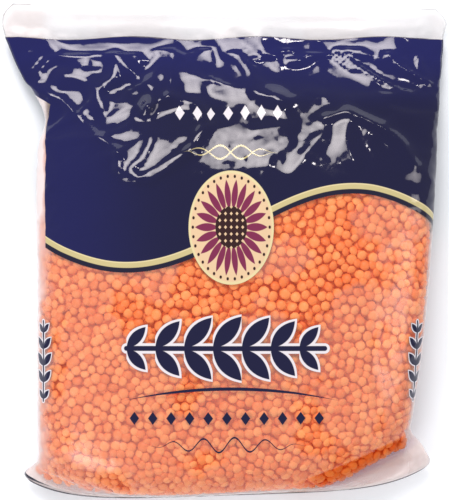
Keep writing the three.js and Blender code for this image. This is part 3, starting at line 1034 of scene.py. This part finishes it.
def clear_film(tree, place, across, up, normal):
    """The film where it has no ink: a clear glossy sheet, milky in places, with painted glare at its sides
    and painted shade beside its folds.
    """
    shade = fold_strip(tree, place, **LOWER_FOLD)
    clear = linear(CLEAR_TINT)
    for strip, tint in ((shade, LOWER_FOLD_SHADE), (fold_strip(tree, place, **EAR_FOLD), EAR_FOLD_SHADE)):
        shades = {"Factor_Float": strip, "A_Color": clear, "B_Color": linear(tint)}
        clear = add(tree, BLEND, sockets=shades, output="Result", data_type="RGBA")
    # the haze and painted glare, taken away in the painted shade beside the lower fold
    milky = add(tree, MATH, haze_and_painted_glare(tree, place, across, up), shade, operation="SUBTRACT", use_clamp=True)
    tints = {"Factor_Float": milky, "A_Color": linear(HAZE_AND_GLARE_COLOURS[0]), "B_Color": linear(HAZE_AND_GLARE_COLOURS[1])}
    tint = add(tree, BLEND, sockets=tints, output="Result", data_type="RGBA")
    haze = add(tree, "ShaderNodeBsdfDiffuse", tint)
    veiled = add(tree, "ShaderNodeMixShader", milky, add(tree, "ShaderNodeBsdfTransparent", clear), haze)
    gloss = {"Roughness": OVER_LENTILS_ROUGHNESS, "Normal": normal, "Color": linear(WHITE)}
    gloss = add(tree, "ShaderNodeBsdfAnisotropic", sockets=gloss)
    shine = {"Factor_Float": add(tree, "ShaderNodeNewGeometry", output="Backfacing"),
             "A_Float": add(tree, "ShaderNodeFresnel", FILM_IOR, normal), "B_Float": BACK_SHINE}
    shine = add(tree, BLEND, sockets=shine, data_type="FLOAT")
    # the painted shade beside the lower fold also takes away the film's gloss there
    unshaded = add(tree, MATH, 1.0, shade, operation="SUBTRACT")
    shine = add(tree, MATH, shine, unshaded, operation="MULTIPLY")
    return add(tree, "ShaderNodeMixShader", shine, veiled, gloss)


def film_finish(name, prints):
    """Biaxially oriented polypropylene film, stretched thin and clear and printed on its inner face: a mirror
    gloss over solid ink, and over the lentils a clear sheet that turns milky where it stands off them."""
    material, tree = new_material("polypropylene_film_" + name)
    sheet = add(tree, "ShaderNodeUVMap", uv_map="flat_sheet")
    sheet = add(tree, VECTOR, sheet, TO_MILLIMETRES, operation="MULTIPLY")
    across, up, _ = add(tree, SPLIT, sheet).node.outputs
    ink = Print(tree)
    for lay_print in prints:
        lay_print(tree, ink, sheet)
    seal = add(tree, "ShaderNodeAttribute", attribute_name="seal_distance", output="Fac")
    seal = add(tree, MATH, seal, add(tree, RAMP, across, *SEAL_LINE), operation="SUBTRACT")
    ink.lay("navy edge", seal)
    place = add(tree, "ShaderNodeTexCoord", output="Object")
    normal = film_bumps(tree, place, up)
    inked = {"Base Color": ink.colour, "Roughness": FILM_ROUGHNESS, "IOR": FILM_IOR, "Normal": normal}
    printed = add(tree, "ShaderNodeBsdfPrincipled", sockets=inked)
    film = clear_film(tree, place, across, up, normal)
    add(tree, "ShaderNodeOutputMaterial", add(tree, "ShaderNodeMixShader", ink.cover, film, printed))
    return material


FLOOR = {"Base Color": linear("f2f9ff"), "Roughness": 0.8}


def floor_finish():
    """Matt white board, a little cool, which comes out plain white under the warm lights."""
    material, tree = new_material("matt_white_board")
    add(tree, "ShaderNodeOutputMaterial", add(tree, "ShaderNodeBsdfPrincipled", sockets=FLOOR))
    return material


def make_core(grid, places):
    """The shaded mass of lentils inside: a closed shape under the layers that show."""
    inner = (grid - CORE_DEPTH * grid_normals(grid))[slice(*np.searchsorted(places, CORE_PLACES))]
    ends = [np.broadcast_to(inner[row].mean(axis=0), inner[row].shape) for row in (0, -1)]
    inner = np.concatenate([ends[:1], inner, ends[1:]])
    core = new_mesh("core_lentils", inner, ring_faces(*inner.shape[:2]))
    core.data.materials.append(core_finish())
    close_ends(core)
    return core


def dress(piece):
    """Says that a piece rides on the bag's one body and stands for its solid, which is hidden."""
    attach(piece, "root")
    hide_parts("lentil_bag")


# The studio, in metres and degrees where a line doesn't say otherwise
CAMERA_HEIGHT = 0.9
PIXEL = 0.46 * MM  # how much of the bag one pixel of the photo spans
SENSOR = 36  # millimetres
PHOTO_HEIGHT = 500  # pixels
LIGHT_COLOUR = "fff7f5"
LIGHT_DISTANCE = 1.6
LIGHTS = (
    dict(name="softbox_top", azimuth=99, from_zenith=47, size=(0.8, 0.75), radiance=9.8),
    dict(name="softbox_right", azimuth=-5, from_zenith=56, size=(0.7, 0.7), radiance=4),
    dict(name="softbox_bottom_left", azimuth=222, from_zenith=57, size=(0.8, 0.6), radiance=8),
    dict(name="small_lamp", azimuth=66, from_zenith=38, size=(0.16, 0.09), radiance=28),
)
LAMP_MIDDLE = (0.5, 0.5, 0)  # in a lamp's own measures, which run from 0 to 1 over it
SOFTBOX_FALL = 2.6  # how steeply a softbox dims from its middle to its edges
MEAN_ASIDE = 1 / 6  # the mean, over a softbox one unit wide, of the squared distance from its middle
ROOM_LIGHT = 0.5
FLOOR_HALF = 2000  # millimetres


def make_camera():
    """Looks straight down on the lying bag, as the photo looks straight at the upright one."""
    lens = bpy.data.cameras.new("camera")
    lens.sensor_width = SENSOR
    lens.lens = SENSOR * CAMERA_HEIGHT / (PHOTO_HEIGHT * PIXEL)
    camera = bpy.data.objects.new("camera", lens)
    camera.location = (0, 0, CAMERA_HEIGHT)
    bpy.context.scene.collection.objects.link(camera)
    bpy.context.scene.camera = camera


def softbox_cloth(light):
    """White diffusing cloth over a lamp, brightest in its middle and dimmer towards its corners."""
    light.use_nodes = True
    tree = light.node_tree
    tree.nodes.clear()
    place = add(tree, "ShaderNodeNewGeometry", output="Parametric")
    aside = add(tree, VECTOR, place, LAMP_MIDDLE, operation="SUBTRACT")
    aside = add(tree, VECTOR, aside, aside, operation="DOT_PRODUCT", output="Value")
    glow = add(tree, MATH, aside, -SOFTBOX_FALL, 1 + SOFTBOX_FALL * MEAN_ASIDE, operation="MULTIPLY_ADD")
    add(tree, "ShaderNodeOutputLight", add(tree, "ShaderNodeEmission", None, glow))


def softbox(name, azimuth, from_zenith, size, radiance):
    """A flat soft light that faces the bag from a side. Its radiance is how bright the film shows it."""
    light = bpy.data.lights.new(name, "AREA")
    light.shape = "RECTANGLE"
    light.size, light.size_y = size
    light.energy = radiance * math.pi * size[0] * size[1]
    light.color = linear(LIGHT_COLOUR)[:3]
    softbox_cloth(light)
    holder = bpy.data.objects.new(name, light)
    turn, tilt = math.radians(azimuth), math.radians(from_zenith)
    away = Vector((math.sin(tilt) * math.cos(turn), math.sin(tilt) * math.sin(turn), math.cos(tilt)))
    holder.location = away * LIGHT_DISTANCE
    holder.rotation_mode = "QUATERNION"
    holder.rotation_quaternion = away.to_track_quat("Z", "Y")
    bpy.context.scene.collection.objects.link(holder)


def make_studio():
    """A pale floor, three soft lights and a small bright one, and a dim even room."""
    corners = np.array([(-1, -1, 0), (1, -1, 0), (1, 1, 0), (-1, 1, 0)]) * FLOOR_HALF
    floor = new_mesh("floor", corners, [(0, 1, 2, 3)])
    floor.data.materials.append(floor_finish())
    for light in LIGHTS:
        softbox(**light)
    world = bpy.data.worlds.new("studio")
    world.use_nodes = True
    background = world.node_tree.nodes["Background"]
    background.inputs["Color"].default_value = linear(WHITE)
    background.inputs["Strength"].default_value = ROOM_LIGHT
    bpy.context.scene.world = world
    bpy.context.scene.view_settings.view_transform = "Standard"


def wrinkled(smooth):
    """The film as it lies: its own wrinkles, calmer where the lentils press it tight, and its creases."""
    settled = settle(smooth)
    above_tight = smooth[..., 1] - np.interp(smooth[..., 0], *TIGHT_UNDER)
    kept = mix(*WRINKLES_KEPT, ease(above_tight, *SLACK_ABOVE))
    lying = mix(smooth, settled, kept[..., None])
    front = lying[:, :COLUMNS + 1]
    sharp = fold_rise(CREASES, front[..., 0], front[..., 1], CREASE_SHARPNESS)
    front[..., 2] += sharp * (1 - ease(front[..., 1], *CREASES_END))
    lying[..., 2] = np.maximum(lying[..., 2], FLOOR_GAP)
    return lying


def fill(smooth, flat, places):
    """Lays single lentils in two layers under the film, wherever its print leaves it clear."""
    tree = lentil_tree()
    rng = np.random.default_rng(LENTIL_SEED)
    for layer, (depth, reach) in enumerate(LENTIL_LAYERS):
        finish = lentil_finish(*LENTIL_FINISHES[layer])
        points, axes, widths, sheet = lentil_layer(smooth, flat, np.searchsorted(places, reach), depth, rng)
        across, up = sheet.T
        below_flap, stripe_edge = FLAP[0]
        in_clear = up < wave_height(across) + UNDER_PRINT
        in_clear |= (across < stripe_edge + UNDER_PRINT) & (up < below_flap)
        on_front = np.abs(across) < HEADER_HALF
        for side, chosen in (("front", in_clear & on_front), ("back", in_clear & ~on_front)):
            name = f"lentils_{side}_{layer + 1}"
            piece = make_lentils(name, points[chosen], axes[chosen], widths[chosen], tree, finish, layer)
            dress(piece)


def make_bag():
    """The film and all that shows of its filling."""
    places = film_rows()
    smooth = np.array([even_ring(row) for row in between(STATIONS, places)])
    smooth[..., 2] += FLOOR_GAP
    flat = flat_sheet(smooth, int(np.searchsorted(places, FOLD_PLACE)))
    up_from_seal = np.linalg.norm(np.diff(smooth, axis=0), axis=-1)
    seal_distance = np.concatenate([np.zeros((1, smooth.shape[1])), np.cumsum(up_from_seal, axis=0)])
    dress(make_film(wrinkled(smooth), flat, seal_distance))
    dress(make_core(smooth, places))
    fill(smooth, flat, places)


make_bag()
make_camera()
make_studio()
